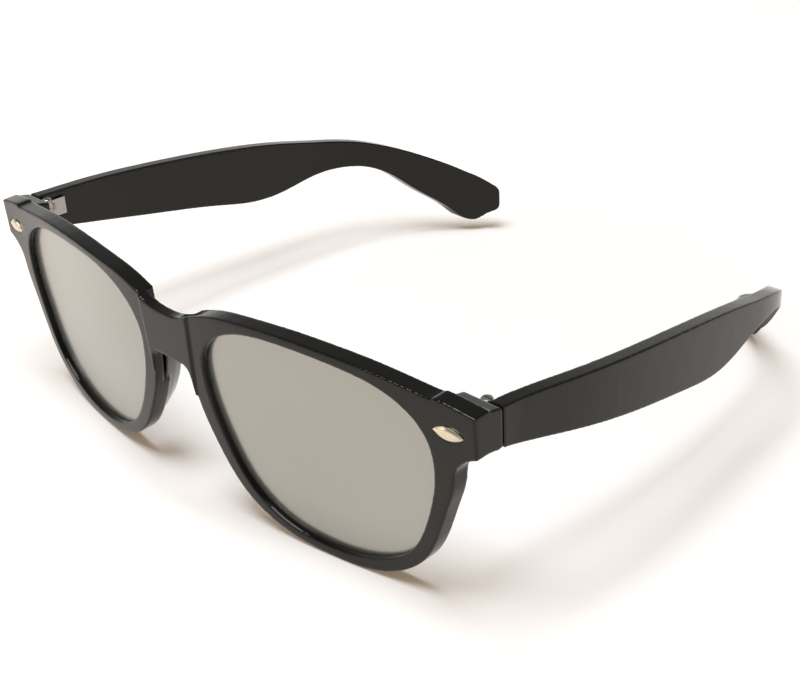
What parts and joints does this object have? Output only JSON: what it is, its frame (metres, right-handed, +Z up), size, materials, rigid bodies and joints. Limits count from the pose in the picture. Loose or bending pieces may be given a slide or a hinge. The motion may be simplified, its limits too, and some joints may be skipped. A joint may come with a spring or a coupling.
{
  "type": "diffraction glasses",
  "caption": "Glossy black glasses with bowed front, moulded nose pads, flat lenses with a diffraction film behind them, and temples folding on screwed metal hinges.",
  "frame": {"origin": "on the table under the middle of the open glasses, which stand on their lower rims and temple tips", "axes": "+X to the wearer's left, the front faces -Y, +Z up"},
  "size_m": [0.1488, 0.1401, 0.0452],
  "materials": {
    "black_plastic": "glossy moulded black plastic",
    "lens": "clear glossy sheet with a faint warm mirror look",
    "grating_film": "thin clear film with fine rulings",
    "rivet_metal": "bright champagne plated metal",
    "hinge_metal": "nickel plated"
  },
  "bodies": {
    "front": {"front_frame": "black_plastic", "left_lens": "lens", "right_lens": "lens", "left_grating_film": "grating_film", "right_grating_film": "grating_film", "left_front_rivet": "rivet_metal", "right_front_rivet": "rivet_metal", "left_front_hinge_leaf": "hinge_metal", "right_front_hinge_leaf": "hinge_metal", "left_hinge_screw": "hinge_metal", "right_hinge_screw": "hinge_metal"},
    "left_arm": {"left_temple": "black_plastic", "left_temple_hinge_leaf": "hinge_metal"},
    "right_arm": {"right_temple": "black_plastic", "right_temple_hinge_leaf": "hinge_metal"}
  },
  "joints": [
    {"name": "left_temple_fold", "type": "hinge", "parent": "front", "child": "left_arm", "pos_m": [0.0676, -0.05301, 0.03742], "axis": [0, 0, 1], "range_deg": [0, 76]},
    {"name": "right_temple_fold", "type": "hinge", "parent": "front", "child": "right_arm", "pos_m": [-0.0676, -0.05301, 0.03742], "axis": [0, 0, -1], "range_deg": [0, 67]}
  ]
}
